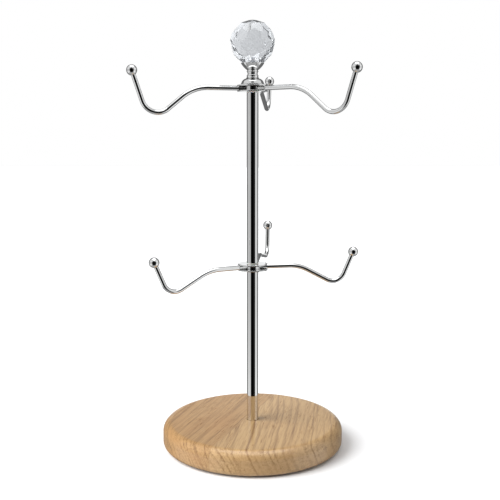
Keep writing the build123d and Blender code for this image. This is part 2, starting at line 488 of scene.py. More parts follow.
@dataclass(frozen=True)
class ChromePlate:
    """Bright chrome plate over steel: a mirror with faint buffing marks and handling film."""

    polish: Polish
    slot: Slot = Slot.CHROME

    def material(self) -> bpy.types.Material:
        """Makes the material; the marks and the film only change its sharpness a little."""
        made = bpy.data.materials.new(f"chrome_plate_{self.polish.name.lower()}")
        tree = NodeTree(made)
        place = tree.place()
        film = tree.smooth_step(tree.noise(place, (9.0, 9.0, 14.0), 3.0, 0.6), 0.45, 0.75)
        marks = tree.noise(place, self.polish.value, 2.0, 0.5)
        dulled = film * 0.5 + marks * 0.2
        tone = tree.mix(dulled, colour(0.79, 0.79, 0.785), colour(0.70, 0.70, 0.69))
        tree.surface(
            Base_Color=tone,
            Metallic=1.0,
            Roughness=0.025 + film * 0.03 + marks * 0.025,
            Normal=tree.bump(marks, 0.0015, 0.25),
        )
        return made


@dataclass(frozen=True)
class StaveWood:
    """Pale hardwood of one stave under a satin lacquer.

    Growth rings are circles about a pith line that lies beside the stave. They show as long
    streaks on top and as slanting lines on the rim.
    """

    name: str
    slot: Slot
    heading: float
    pith_across: float
    pith_height: float
    drift: float
    ring: float
    pale: tuple[float, float, float, float]
    deep: tuple[float, float, float, float]
    blush: tuple[float, float, float, float]
    contrast: float
    wander: float
    seam_across: float
    seam_heading: float

    def material(self) -> bpy.types.Material:
        """Makes the material from rings, fibres, pores and slow changes of colour."""
        made = bpy.data.materials.new(self.name)
        tree = NodeTree(made)
        place = tree.place(self.heading)
        rings, growth = self._rings(tree, place)
        fibre = tree.noise(place, (0.7, 22.0, 0.7), 3.0, 0.65)
        streak = tree.noise(place, (2.2, 75.0, 2.2), 3.0, 0.6)
        pores = self._pores(tree, place, growth)
        shade = rings * self.contrast + (streak - 0.5) * 1.55 + (fibre - 0.5) * 1.3
        wood = tree.mix(tree.smooth_step(shade, -0.25, 0.75), self.pale, self.deep)
        patch = tree.smooth_step(tree.noise(place, (24.0, 80.0, 16.0), 2.0, 0.5), 0.42, 0.68)
        wood = tree.mix(patch * 0.55, wood, self.blush)
        dark = colour(0.40, 0.27, 0.16)
        wood = tree.mix(pores * 0.85, wood, tree.mix(1.0, wood, dark, "MULTIPLY"))
        wood = tree.mix(self._glue_line(tree) * 0.45, wood, colour(0.20, 0.10, 0.045))
        relief = 0.55 + (fibre - 0.5) * 0.35 - pores * 0.5 - rings * 0.1
        gloss = 0.36 + (fibre - 0.5) * 0.12 + pores * 0.2 + patch * 0.03
        tree.surface(
            Base_Color=wood,
            Roughness=gloss,
            Coat_Weight=0.55 - pores * 0.3,
            Coat_Roughness=0.15,
            Coat_IOR=1.5,
            IOR=1.45,
            Normal=tree.bump(relief, 0.06, 0.5),
        )
        return made

    def _rings(self, tree: NodeTree, place: Signal) -> tuple[Signal, Signal]:
        """Late wood of the growth rings.

        Distance from the pith line, with slow wander, is cut into rings. Each ring darkens
        slowly outwards and ends sharply.

        Args:
            tree: The tree that is being written.
            place: Place across, along and up the stave, in millimetres.

        Returns:
            Darkness of the ring from 0 to 1, and place within the ring from 0 to 1.
        """
        across, along, up = tree.parts(place)
        wander = (tree.noise(place, (60.0, 150.0, 60.0), 2.0, 0.5) - 0.5) * self.wander
        ripple = (tree.noise(place, (9.0, 55.0, 9.0), 2.0, 0.5) - 0.5) * 1.8
        aside = across - self.pith_across
        above = up - self.pith_height
        distance = tree.math("SQRT", aside * aside + above * above)
        distance = distance + wander + ripple + along * self.drift
        spell = tree.noise(tree.vector(distance, 0.0, 0.0), (11.0, 1.0, 1.0), 2.0, 0.6)
        lean_years = (spell - 0.5) * 9.0
        count = (distance + lean_years) / self.ring
        growth = tree.math("FRACT", count)
        late = tree.smooth_step(growth, 0.42, 0.90) * (1.0 - tree.smooth_step(growth, 0.90, 1.0))
        year = tree.noise(tree.vector(count, 0.0, 0.0), (1.3, 1.0, 1.0), 2.0, 0.7)
        return late * tree.smooth_step(year, 0.30, 0.70), growth

    @staticmethod
    def _pores(tree: NodeTree, place: Signal, growth: Signal) -> Signal:
        """Short dark dashes along the grain, which are dots where the grain ends."""
        fine = tree.smooth_step(tree.noise(place, (0.42, 8.5, 0.42), 1.0, 0.5), 0.60, 0.68)
        broad = tree.smooth_step(tree.noise(place, (0.95, 11.0, 0.95), 1.0, 0.5), 0.66, 0.74)
        spread = tree.smooth_step(tree.noise(place, (8.0, 40.0, 8.0), 2.0, 0.5), 0.34, 0.62)
        return tree.math("MAXIMUM", fine, broad) * spread * (1.0 - growth * 0.4)

    def _glue_line(self, tree: NodeTree) -> Signal:
        """The thin line where the two staves meet."""
        across, _, _ = tree.parts(tree.place(self.seam_heading))
        gap = tree.math("ABSOLUTE", across - self.seam_across)
        return 1.0 - tree.smooth_step(gap, 0.08, 0.28)


@dataclass(frozen=True)
class Felt:
    """Dark wool felt under the base: matted fibres with paler flecks."""

    slot: Slot = Slot.FELT

    def material(self) -> bpy.types.Material:
        """Makes the material."""
        made = bpy.data.materials.new("wool_felt")
        tree = NodeTree(made)
        place = tree.place()
        mat = tree.noise(place, (0.5, 0.5, 0.5), 5.0, 0.7)
        hair = tree.noise(place, (0.12, 1.4, 0.4), 2.0, 0.5)
        shade = mat * 0.6 + hair * 0.4
        lit = tree.smooth_step(shade, 0.35, 0.7)
        tone = tree.mix(lit, colour(0.028, 0.021, 0.017), colour(0.085, 0.068, 0.055))
        tree.surface(
            Base_Color=tone,
            Roughness=0.9 + mat * 0.1,
            Sheen_Weight=0.25,
            Sheen_Roughness=0.5,
            Normal=tree.bump(shade, 0.25, 0.8),
        )
        return made


@dataclass(frozen=True)
class ZincPlate:
    """Blue-white zinc on threaded steel, with a cloudy spangle."""

    slot: Slot = Slot.ZINC_STEEL

    def material(self) -> bpy.types.Material:
        """Makes the material."""
        made = bpy.data.materials.new("zinc_plate")
        tree = NodeTree(made)
        place = tree.place()
        cloud = tree.noise(place, (2.2, 2.2, 2.2), 4.0, 0.6)
        tool = tree.noise(place, (0.15, 0.15, 0.9), 2.0, 0.5)
        spangle = tree.smooth_step(cloud, 0.35, 0.65)
        tone = tree.mix(spangle, colour(0.50, 0.52, 0.55), colour(0.63, 0.64, 0.66))
        tree.surface(
            Base_Color=tone,
            Metallic=1.0,
            Roughness=0.24 + cloud * 0.16 + tool * 0.08,
            Normal=tree.bump(tool, 0.01, 0.4),
        )
        return made


@dataclass(frozen=True)
class Nylon:
    """Milky nylon of the bushes and the thin washers."""

    slot: Slot = Slot.NYLON

    def material(self) -> bpy.types.Material:
        """Makes the material."""
        made = bpy.data.materials.new("milky_nylon")
        tree = NodeTree(made)
        place = tree.place()
        cloud = tree.noise(place, (3.0, 3.0, 3.0), 3.0, 0.5)
        grain = tree.noise(place, (0.2, 0.2, 0.2), 2.0, 0.5)
        tone = tree.mix(cloud, colour(0.70, 0.68, 0.62), colour(0.79, 0.78, 0.74))
        tree.surface(
            Base_Color=tone,
            Roughness=0.38 + grain * 0.14,
            Subsurface_Weight=0.15,
            Subsurface_Scale=0.001,
            Normal=tree.bump(grain, 0.01, 0.4),
        )
        return made


@dataclass(frozen=True)
class CutCrystal:
    """Clear lead crystal with polished facets and a trace of handling haze."""

    slot: Slot = Slot.CRYSTAL

    def material(self) -> bpy.types.Material:
        """Makes the material."""
        made = bpy.data.materials.new("cut_crystal")
        tree = NodeTree(made)
        place = tree.place()
        haze = tree.noise(place, (5.0, 5.0, 5.0), 3.0, 0.6)
        tone = tree.mix(haze, colour(0.955, 0.975, 1.0), colour(0.935, 0.955, 0.985))
        tree.surface(
            Base_Color=tone,
            Roughness=tree.smooth_step(haze, 0.5, 0.9) * 0.02,
            IOR=1.54,
            Transmission_Weight=0.90,
        )
        return made


Finish = Union[ChromePlate, StaveWood, Felt, ZincPlate, Nylon, CutCrystal]


class Workshop:
    """Turns skins into finished pieces, and keeps one material for each finish."""

    def __init__(self) -> None:
        """Starts with no materials made."""
        self._materials: dict[Finish, bpy.types.Material] = {}

    def _dressed(self, finish: Finish) -> bpy.types.Material:
        """The finish's material, made when it is first asked for."""
        if finish not in self._materials:
            self._materials[finish] = finish.material()
        return self._materials[finish]

    def piece(
        self, name: str, mesh: bpy.types.Mesh, finish: Finish, body: str, *nodes: str
    ) -> bpy.types.Object:
        """Makes a piece from a mesh in metres and puts it on its body.

        Args:
            name: The piece's name.
            mesh: Its final mesh.
            finish: What it is finished with.
            body: The body that it moves with.
            nodes: The frame's nodes that it stands for.

        Returns:
            The piece.
        """
        mesh.name = name
        mesh.materials.clear()
        mesh.materials.append(self._dressed(finish))
        made = bpy.data.objects.new(name, mesh)
        bpy.context.scene.collection.objects.link(made)
        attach(made, body)
        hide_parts(*nodes)
        LOG.info("%s: %d faces on %s", name, len(mesh.polygons), body)
        return made

    def skinned(
        self, name: str, skin: Skin, finish: Finish, body: str, *nodes: str
    ) -> bpy.types.Object:
        """Makes a piece from a skin: smooth, with its true edges kept sharp."""
        return self.piece(name, smooth_mesh(skin), finish, body, *nodes)


def smooth_mesh(skin: Skin) -> bpy.types.Mesh:
    """Mesh of a skin in metres, shaded smooth except across its true edges."""
    mesh = bpy.data.meshes.new("skin")
    mesh.from_pydata((skin.points * MM).tolist(), [], skin.faces())
    mesh.shade_smooth()
    mesh.set_sharp_from_angle(angle=SHARP_ANGLE)
    return mesh


# ---- wooden base -------------------------------------------------------------------------


@dataclass(frozen=True)
class WoodenBase:
    """Turned disc glued up from two staves, with a nut pocket and a felt pad below."""

    top_round: float = 8.0
    bottom_round: float = 4.5
    seam_offset: float = -6.0
    seam_heading: float = 68.0
    seat_radius: float = 5.1
    seat_depth: float = 4.0
    seat_ease: float = 0.35
    pocket_radius: float = 10.0
    pocket_depth: float = 8.0
    bore: float = 3.3
    pad_round: float = 0.45
    segments: int = 288

    def outline(self) -> np.ndarray:
        """Closed profile of the whole disc, with its bores."""
        low, high = frame_box("base_right_stave")
        rim, floor, top = high[0], low[2], high[2]
        flat, foot = rim - self.top_round, rim - self.bottom_round
        sin45 = math.sqrt(0.5)
        path = Outline(self.bore, floor + self.pocket_depth)
        path.line(self.bore, top - self.seat_depth).line(self.seat_radius, top - self.seat_depth)
        path.line(self.seat_radius, top - self.seat_ease)
        path.line(self.seat_radius + self.seat_ease, top).line(flat, top, parts=6)
        shoulder = top - self.top_round
        rise = self.top_round * sin45
        path.arc((flat + rise, shoulder + rise), (rim, shoulder))
        heel, drop = floor + self.bottom_round, self.bottom_round * sin45
        path.line(rim, heel)
        path.arc((foot + drop, heel - drop), (foot, floor))
        path.line(self.pocket_radius, floor, parts=4)
        path.line(self.pocket_radius, floor + self.pocket_depth)
        return path.close()

    def stave(self, blank: Skin, keep_right: bool) -> bpy.types.Mesh:
        """One side of the blank, cut along the glue line and closed with a flat face.

        Args:
            blank: The whole disc.
            keep_right: True for the stave that holds the pole.

        Returns:
            The stave's mesh, in metres.
        """
        lean = math.radians(self.seam_heading - 90.0)
        to_right = Vector((math.cos(lean), math.sin(lean), 0.0))
        mesh = smooth_mesh(blank)
        body = bmesh.new()
        body.from_mesh(mesh)
        bmesh.ops.bisect_plane(
            body,
            geom=body.verts[:] + body.edges[:] + body.faces[:],
            dist=1e-7,
            plane_co=to_right * self.seam_offset * MM,
            plane_no=to_right,
            clear_inner=keep_right,
            clear_outer=not keep_right,
        )
        rim = [edge for edge in body.edges if edge.is_boundary]
        made = bmesh.ops.holes_fill(body, edges=rim, sides=0)
        bmesh.ops.triangulate(body, faces=made["faces"])
        bmesh.ops.recalc_face_normals(body, faces=body.faces)
        body.to_mesh(mesh)
        body.free()
        mesh.shade_smooth()
        mesh.set_sharp_from_angle(angle=SHARP_ANGLE)
        return mesh

    def pad(self) -> Skin:
        """Felt disc with a soft rim."""
        low, high = frame_box("base_felt_pad")
        rim, floor, top = high[0], low[2], high[2]
        ease = self.pad_round
        lean = ease * math.sqrt(0.5)
        path = Outline(0.0, floor).line(rim - ease, floor, parts=5)
        path.arc((rim - ease + lean, floor + ease - lean), (rim, floor + ease))
        path.line(rim, top - ease)
        path.arc((rim - ease + lean, top - ease + lean), (rim - ease, top)).line(0.0, top, parts=5)
        return turned(path.points(), self.segments)

    def build(self, shop: Workshop) -> None:
        """Makes both staves and the pad."""
        blank = turned(self.outline(), self.segments)
        seam = {
            "seam_across": self.seam_offset,
            "seam_heading": self.seam_heading,
        }
        left = StaveWood(
            name="stave_wood_left",
            slot=Slot.WOOD_LEFT,
            heading=69.0,
            pith_across=-150.0,
            pith_height=-70.0,
            drift=0.03,
            ring=3.6,
            pale=colour(0.435, 0.262, 0.113),
            deep=colour(0.225, 0.118, 0.043),
            blush=colour(0.39, 0.215, 0.088),
            contrast=0.85,
            wander=10.0,
            **seam,
        )
        right = StaveWood(
            name="stave_wood_right",
            slot=Slot.WOOD_RIGHT,
            heading=80.0,
            pith_across=-56.0,
            pith_height=-24.0,
            drift=0.08,
            ring=5.0,
            pale=colour(0.49, 0.318, 0.150),
            deep=colour(0.25, 0.138, 0.057),
            blush=colour(0.43, 0.26, 0.117),
            contrast=0.72,
            wander=13.0,
            **seam,
        )
        shop.piece("base_stave_left", self.stave(blank, False), left, "stand", "base_left_stave")
        shop.piece("base_stave_right", self.stave(blank, True), right, "stand", "base_right_stave")
        shop.skinned("base_pad", self.pad(), Felt(), "stand", "base_felt_pad")


# ---- tie rod and its fasteners -----------------------------------------------------------


@dataclass(frozen=True)
class TieRod:
    """Hidden M6 rod, threaded at both ends, with its nut and washer in the base."""

    radius: float = 3.0
    pitch: float = 1.0
    thread_depth: float = 0.55
    foot_thread: float = 16.0
    head_thread: float = 22.0
    chamfer: float = 0.6
    nut_flats: float = 10.0
    nut_bore: float = 3.05
    nut_face: float = 0.96
    nut_cone: float = 1.9
    nut_segments: int = 96
    washer_bore: float = 3.3
    ease: float = 0.25
    segments: int = 48

    def rod(self) -> Skin:
        """The rod as a grid of angle and height.

        The radius is the rod's own, less a triangle wave that climbs one pitch for each turn.
        The wave fades out where a thread runs out, and both ends are coned.
        """
        low, high = (corner[2] for corner in frame_box("tie_rod"))
        step = self.pitch / 8.0
        foot = np.arange(low, low + self.foot_thread, step)
        head = np.arange(high - self.head_thread, high, step)
        height = np.concatenate([foot, head, [high]])[:, None]
        angle = (np.arange(self.segments) * TURN / self.segments)[None, :]
        wave = np.abs(2.0 * np.mod(height / self.pitch - angle / TURN, 1.0) - 1.0)
        cut = np.maximum(low + self.foot_thread - height, height - high + self.head_thread)
        fade = np.clip((cut - self.pitch) / self.pitch, 0.0, 1.0)
        radius = self.radius - self.thread_depth * wave * fade
        end = np.minimum(height - low, high - height)
        radius = np.minimum(radius, self.radius - self.chamfer + end)
        grid = np.stack(
            [radius * np.cos(angle), radius * np.sin(angle), height + 0.0 * angle], axis=2
        )
        pole = np.zeros((1, self.segments, 3))
        grid = np.concatenate([pole + [0.0, 0.0, low], grid, pole + [0.0, 0.0, high]])
        return closed_grid(grid, loop_rows=False)

    def nut(self) -> Skin:
        """The nut as a closed section carried round the bore.

        Outside, the radius is the smaller of the hexagon's at that angle and a cone's that
        eases the corners towards both faces.
        """
        low_corner, high_corner = frame_box("base_nut")
        low, high = low_corner[2], high_corner[2]
        turn_to_corner = 0.0 if high_corner[0] > high_corner[1] else math.pi / 6.0
        segments = self.nut_segments
        angle = np.arange(segments) * TURN / segments
        within = np.mod(angle - turn_to_corner, math.pi / 3.0) - math.pi / 6.0
        hexagon = self.nut_flats / 2.0 / np.cos(within)
        face = self.nut_flats / 2.0 * self.nut_face
        share = np.array([0.0, 0.02, 0.06, 0.12, 0.25, 0.75, 0.88, 0.94, 0.98, 1.0])
        height = low + (high - low) * share
        cone = face + self.nut_cone * np.minimum(height - low, high - height)
        outer = np.minimum(hexagon[None, :], cone[:, None])
        mouth = self.ease * 2.0
        bore = np.full((4, segments), self.nut_bore)
        bore[[0, 3]] += mouth
        bore_height = np.array([high, high - mouth, low + mouth, low])
        radius = np.concatenate([outer, bore])
        heights = np.concatenate([height, bore_height])[:, None]
        grid = np.stack(
            [radius * np.cos(angle), radius * np.sin(angle), heights + 0.0 * angle], axis=2
        )
        return closed_grid(grid, loop_rows=True)

    def build(self, shop: Workshop) -> None:
        """Makes the rod, the washer and the nut."""
        zinc = ZincPlate()
        shop.skinned("threaded_tie_rod", self.rod(), zinc, "stand", "tie_rod")
        low, high = frame_box("base_washer")
        washer = sleeve(high[0], self.washer_bore, low[2], high[2], self.ease)
        shop.skinned("flat_washer", turned(washer, 72), zinc, "stand", "base_washer")
        shop.skinned("hexagon_nut", self.nut(), zinc, "stand", "base_nut")


# ---- pole --------------------------------------------------------------------------------


@dataclass(frozen=True)
class Pole:
    """Two chromed tubes, the bushes in their ends, and the thin washers at the hubs."""

    tube_bore: float = 4.2
    bush_bore: float = 3.05
    bush_length: float = 12.0
    bush_ease: float = 0.3
    washer_bore: float = 3.1
    washer_thickness: float = 0.4
    washer_ease: float = 0.08
    tube_ease: float = 0.2
    segments: int = 96

    def build(self, shop: Workshop) -> None:
        """Makes the tubes, bushes and washers."""
        chrome, nylon = ChromePlate(Polish.ALONG), Nylon()
        for side in ("lower", "upper"):
            low, high = frame_box(f"{side}_tube")
            tube = sleeve(high[0], self.tube_bore, low[2], high[2], self.tube_ease)
            shell = turned(tube, self.segments)
            shop.skinned(f"pole_{side}_tube", shell, chrome, "stand", f"{side}_tube")
            ends = (low[2], low[2] + self.bush_length), (high[2] - self.bush_length, high[2])
            foot, head = (
                turned(sleeve(self.tube_bore, self.bush_bore, start, end, self.bush_ease), 64)
                for start, end in ends
            )
            pair = foot.joined(head)
            shop.skinned(f"pole_{side}_bushes", pair, nylon, "stand", f"{side}_tube_bushes")
        shop.skinned("hub_swivel_washers", self.washers(), nylon, "stand", "swivel_washers")

    def washers(self) -> Skin:
        """The four thin washers, above and below each hub."""
        low, high = frame_box("swivel_washers")
        radius, thick = high[0], self.washer_thickness
        lower_pole = frame_box("lower_tube")[1][2]
        upper_foot = frame_box("upper_tube")[0][2]
        upper_pole = frame_box("upper_tube")[1][2]
        starts = (lower_pole, upper_foot - thick, upper_pole, high[2] - thick)
        rings = [
            turned(sleeve(radius, self.washer_bore, start, start + thick, self.washer_ease), 64)
            for start in starts
        ]
        made = rings[0]
        for ring in rings[1:]:
            made = made.joined(ring)
        return made


# ---- tiers -------------------------------------------------------------------------------


@dataclass(frozen=True)
class WireBend:
    """Bends of a wire arm, as reach from the pole axis and height from the hub's middle."""

    run: float
    dip_reach: float
    dip: float
    tip_reach: float
    tip: float
    shoulder_radius: float
    cradle_radius: float


@dataclass(frozen=True)
class WireArm:
    """One arm of a tier: where it points, its bends, and how far it is bent up at the hub."""

    side: str
    heading: float
    bend: WireBend
    lift: float = 0.0


@dataclass(frozen=True)
class Tier:
    """A turning hub of two discs on a collar, with three wire arms that end in balls."""

    name: str
    arms: tuple[WireArm, ...]
    wire_radius: float = 2.0
    wire_start: float = 6.6
    wire_ease: float = 0.3
    lift_start: float = 15.0
    lift_radius: float = 15.0
    ball_radius: float = 4.4
    mouth_ease: float = 0.28
    disc_bore: float = 3.1
    disc_round: float = 0.35
    collar_bore: float = 3.05
    collar_ease: float = 0.2
    wire_segments: int = 48
    ball_segments: int = 64
    disc_segments: int = 432

    @property
    def body(self) -> str:
        """The body that the whole tier turns with."""
        return f"{self.name}_tier"

    @property
    def height(self) -> float:
        """Height of the hub's middle."""
        low, high = frame_box(f"{self.name}_hub_collar")
        return float(low[2] + high[2]) / 2.0

    def corners(self, arm: WireArm) -> tuple[np.ndarray, list[float]]:
        """Corners of a wire's centre line and the bend radius at each.

        A lifted arm turns every point past the start of its lift by the lift's angle.

        Args:
            arm: The arm.

        Returns:
            The corners as reach and height, and the radii between the ends.
        """
        shape = arm.bend
        far = np.array(
            [(shape.run, 0.0), (shape.dip_reach, shape.dip), (shape.tip_reach, shape.tip)]
        )
        radii = [shape.shoulder_radius, shape.cradle_radius]
        start = np.array([[self.wire_start, 0.0]])
        if not arm.lift:
            return np.vstack([start, far]), radii
        angle = math.radians(arm.lift)
        hinge = np.array([[self.lift_start, 0.0]])
        spin = np.array([[math.cos(angle), math.sin(angle)], [-math.sin(angle), math.cos(angle)]])
        return np.vstack([start, hinge, hinge + (far - hinge) @ spin]), [self.lift_radius] + radii

    def in_place(
        self, reach: np.ndarray, aside: np.ndarray, up: np.ndarray, heading: float
    ) -> np.ndarray:
        """Points of an arm's own plane, turned to its heading and lifted to the hub."""
        angle = math.radians(heading)
        return np.stack(
            [
                reach * math.cos(angle) - aside * math.sin(angle),
                reach * math.sin(angle) + aside * math.cos(angle),
                up + self.height,
            ],
            axis=-1,
        )

    def wire(self, arm: WireArm) -> Skin:
        """Round wire carried along its centre line.

        A point at slope s and angle a round the wire is the line's point plus the radius
        times cos a on the line's own normal and sin a sideways. The ends are eased.
        """
        corners, radii = self.corners(arm)
        line, slope = rounded_path(corners, radii)
        ahead = np.array([math.cos(slope[0]), math.sin(slope[0])])
        back = np.array([math.cos(slope[-1]), math.sin(slope[-1])])
        ease, full = self.wire_ease, self.wire_radius
        start = [line[0], line[0], line[0] + ease * ahead, line[0] + 2 * ease * ahead]
        end = [line[-1] - 2 * ease * back, line[-1] - ease * back, line[-1], line[-1]]
        line = np.vstack([start, line[1:-1], end])
        slope = np.concatenate([[slope[0]] * 3, slope[:-1], [slope[-1]] * 4])
        radius = np.full(len(line), full)
        radius[[0, -1]] = 0.0
        radius[[1, -2]] = full - ease
        angle = np.arange(self.wire_segments) * TURN / self.wire_segments
        out = radius[:, None] * np.cos(angle)
        reach = line[:, :1] - np.sin(slope)[:, None] * out
        up = line[:, 1:] + np.cos(slope)[:, None] * out
        aside = radius[:, None] * np.sin(angle)
        return closed_grid(self.in_place(reach, aside, up, arm.heading), loop_rows=False)

    def ball(self, arm: WireArm) -> Skin:
        """Ball drilled to its centre, with the mouth of the hole softened.

        It is a profile turned about the wire's own direction at its tip.
        """
        corners, _ = self.corners(arm)
        run = corners[-1] - corners[-2]
        ahead = run / np.hypot(*run)
        wire, ball, ease = self.wire_radius, self.ball_radius, self.mouth_ease
        mouth = -math.sqrt(ball**2 - (wire + ease) ** 2)
        waist = ball * math.sqrt(0.5)
        path = Outline(0.0, 0.0).line(wire, 0.0).line(wire, mouth + ease)
        path.arc((wire + ease * 0.25, mouth + ease * 0.2), (wire + ease, mouth))
        path.arc((waist, -waist), (ball, 0.0)).arc((waist, waist), (0.0, ball))
        profile = path.points()
        angle = np.arange(self.ball_segments) * TURN / self.ball_segments
        out = profile[:, :1] * np.cos(angle)
        reach = corners[-1, 0] + ahead[0] * profile[:, 1:] - ahead[1] * out
        up = corners[-1, 1] + ahead[1] * profile[:, 1:] + ahead[0] * out
        aside = profile[:, :1] * np.sin(angle)
        return closed_grid(self.in_place(reach, aside, up, arm.heading), loop_rows=False)

    def disc(self, node: str, above: bool) -> Skin:
        """Hub disc with rounded rims and a groove where each wire presses in it.

        Its inner face gives way wherever the round of a wire stands higher than it.

        Args:
            node: The frame's node for the disc.
            above: True for the top disc.

        Returns:
            The disc.
        """
        low, high = frame_box(node)
        rim, floor, top = high[0], low[2] - self.height, high[2] - self.height
        ease = self.disc_round
        lean = ease * math.sqrt(0.5)
        inner, outer = self.disc_bore, rim - ease
        path = Outline(inner + ease, floor).line(outer, floor, parts=10)
        path.arc((outer + lean, floor + ease - lean), (rim, floor + ease)).line(rim, top - ease)
        path.arc((outer + lean, top - ease + lean), (outer, top)).line(inner + ease, top, parts=10)
        path.arc((inner + ease - lean, top - ease + lean), (inner, top - ease))
        path.line(inner, floor + ease)
        path.arc((inner + ease - lean, floor + ease - lean), (inner + ease, floor))
        skin = turned(path.points()[:-1], self.disc_segments)
        points = skin.points.copy()
        sign = 1.0 if above else -1.0
        for arm in self.arms:
            angle = math.radians(arm.heading)
            ahead = points[:, 0] * math.cos(angle) + points[:, 1] * math.sin(angle)
            aside = points[:, 1] * math.cos(angle) - points[:, 0] * math.sin(angle)
            round_of_wire = np.sqrt(np.clip(self.wire_radius**2 - aside**2, 0.0, None))
            round_of_wire[ahead < self.wire_start] = 0.0
            points[:, 2] = sign * np.maximum(sign * points[:, 2], round_of_wire)
        return Skin(points, skin.quads, skin.triangles).moved((0.0, 0.0, self.height))

    def build(self, shop: Workshop) -> None:
        """Makes the hub and then each arm with its ball."""
        name, body = self.name, self.body
        spun, drawn = ChromePlate(Polish.ROUND), ChromePlate(Polish.ALONG)
        tumbled = ChromePlate(Polish.ALL_OVER)
        for side, above in (("top", True), ("bottom", False)):
            node = f"{name}_hub_{side}_disc"
            shop.skinned(f"{name}_tier_{side}_disc", self.disc(node, above), spun, body, node)
        low, high = frame_box(f"{name}_hub_collar")
        collar = sleeve(high[0], self.collar_bore, low[2], high[2], self.collar_ease)
        shop.skinned(f"{name}_tier_collar", turned(collar, 72), spun, body, f"{name}_hub_collar")
        for arm in self.arms:
            label = f"{name}_{arm.side}"
            shop.skinned(f"{label}_hook_wire", self.wire(arm), drawn, body, f"{label}_arm")
            shop.skinned(f"{label}_hook_ball", self.ball(arm), tumbled, body, f"{label}_ball")


# ---- finial ------------------------------------------------------------------------------


@dataclass(frozen=True)
class Finial:
    """Turned cup on a slim neck, with a faceted crystal glued on a peg."""

    bore: float = 3.05
    socket: float = 3.05
    seat: float = 16.6
    socket_floor: float = 14.2
    screw_depth: float = 13.0
    facet_ease: float = 0.12
    peg_ease: float = 0.3
    segments: int = 128

    def cup(self) -> Skin:
        """The cup's profile, measured up from its underside, turned about the pole."""
        path = Outline(self.bore, 0.0).line(9.5, 0.0, parts=2)
        path.arc((9.95, 0.5), (9.6, 1.0)).line(9.45, 1.4)
        path.arc((8.3, 3.4), (6.4, 4.6)).arc((5.2, 5.5), (4.8, 6.6))
        path.arc((5.15, 6.95), (4.8, 7.3)).arc((4.25, 8.9), (4.7, 10.2))
        path.arc((5.05, 10.55), (4.7, 10.9)).line(4.5, 11.5)
        path.arc((7.75, 14.3), (9.85, 17.3)).arc((9.6, 17.6), (9.3, 17.4))
        path.line(8.9, self.seat).line(self.socket, self.seat)
        path.line(self.socket, self.socket_floor).line(0.0, self.socket_floor)
        outside = path.points()
        inside = Outline(0.0, self.screw_depth).line(self.bore, self.screw_depth)
        inside.line(self.bore, 0.0)
        bottom = frame_box("finial_cup")[0][2]
        profile = np.vstack([inside.points(), outside[1:]])
        return turned(profile, self.segments).moved((0.0, 0.0, bottom))

    def peg(self) -> Skin:
        """Steel peg with eased ends."""
        low, high = frame_box("crystal_peg")
        radius, floor, top, ease = high[0], low[2], high[2], self.peg_ease
        path = Outline(0.0, floor).line(radius - ease, floor).line(radius, floor + ease)
        path.line(radius, top - ease).line(radius - ease, top).line(0.0, top)
        return turned(path.points(), 64)

    def crystal(self) -> bpy.types.Mesh:
        """The frame's own facets, merged, with each edge polished to a hair's width.

        Returns:
            The crystal's mesh, flat on every facet.
        """
        stone = bmesh.new()
        stone.from_mesh(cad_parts["finial_crystal"].data)
        bmesh.ops.remove_doubles(stone, verts=stone.verts, dist=2e-6)
        flat = math.radians(0.6)
        bmesh.ops.dissolve_limit(
            stone, angle_limit=flat, verts=stone.verts[:], edges=stone.edges[:]
        )
        keen = [edge for edge in stone.edges if self._is_facet_edge(edge)]
        bmesh.ops.bevel(
            stone,
            geom=keen,
            offset=self.facet_ease * MM,
            segments=1,
            profile=0.5,
            affect="EDGES",
        )
        mesh = bpy.data.meshes.new("crystal")
        stone.to_mesh(mesh)
        stone.free()
        mesh.shade_flat()
        return mesh

    def _is_facet_edge(self, edge: bmesh.types.BMEdge) -> bool:
        """True for an edge between two facets, and False in the drilled hole."""
        return all(math.hypot(v.co.x, v.co.y) > (self.socket + 0.5) * MM for v in edge.verts)

    def build(self, shop: Workshop) -> None:
        """Makes the cup, the peg and the crystal."""
        spun = ChromePlate(Polish.ROUND)
        shop.skinned("finial_turned_cup", self.cup(), spun, "finial", "finial_cup")
        shop.skinned("finial_peg", self.peg(), ZincPlate(), "finial", "crystal_peg")
        shop.piece("finial_cut_crystal", self.crystal(), CutCrystal(), "finial", "finial_crystal")


# ---- studio ------------------------------------------------------------------------------


@dataclass(frozen=True)
class Camera:
    """Camera in front of the tree, a little above its middle."""

    distance: float = 0.699
    height: float = 0.273
    look_down: float = 8.1
    lens: float = 58.9
    shift: float = -0.0052

    def build(self) -> None:
        """Makes the camera and gives it to the scene."""
        data = bpy.data.cameras.new("camera")
        data.sensor_width = 36.0
        data.lens = self.lens
        data.shift_x = self.shift
        made = bpy.data.objects.new("camera", data)
        made.location = (0.0, -self.distance, self.height)
        made.rotation_euler = (math.radians(90.0 - self.look_down), 0.0, 0.0)
        bpy.context.scene.collection.objects.link(made)
        bpy.context.scene.camera = made


